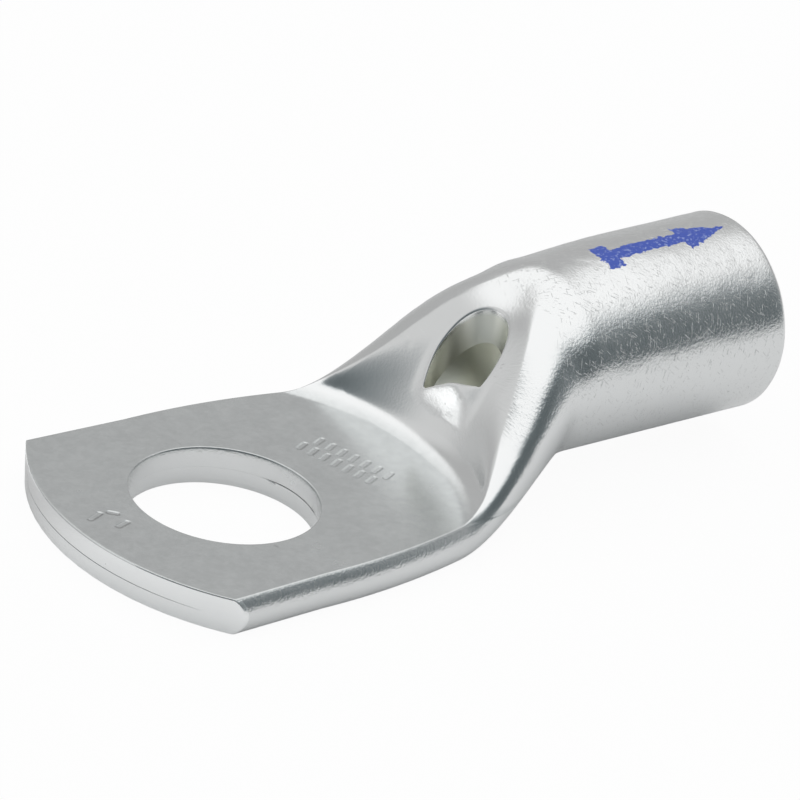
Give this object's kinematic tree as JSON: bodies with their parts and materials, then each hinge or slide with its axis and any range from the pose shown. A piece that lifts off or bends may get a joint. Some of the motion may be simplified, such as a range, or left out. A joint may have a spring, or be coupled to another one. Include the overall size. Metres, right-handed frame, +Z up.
{
  "type": "cable lug",
  "caption": "Tubular crimping lug: round barrel for a stranded conductor, flattened palm with a stud hole, and an inspection hole.",
  "frame": {"origin": "on the stud hole's axis, at the palm's underside", "axes": "+Z up the stud hole's axis, +X along the lug from the tip to the barrel's mouth"},
  "size_m": [0.0551, 0.0242, 0.0149],
  "materials": {
    "tin": "satin tin plate on copper"
  },
  "bodies": {
    "root": {"lug": "tin"}
  },
  "joints": []
}
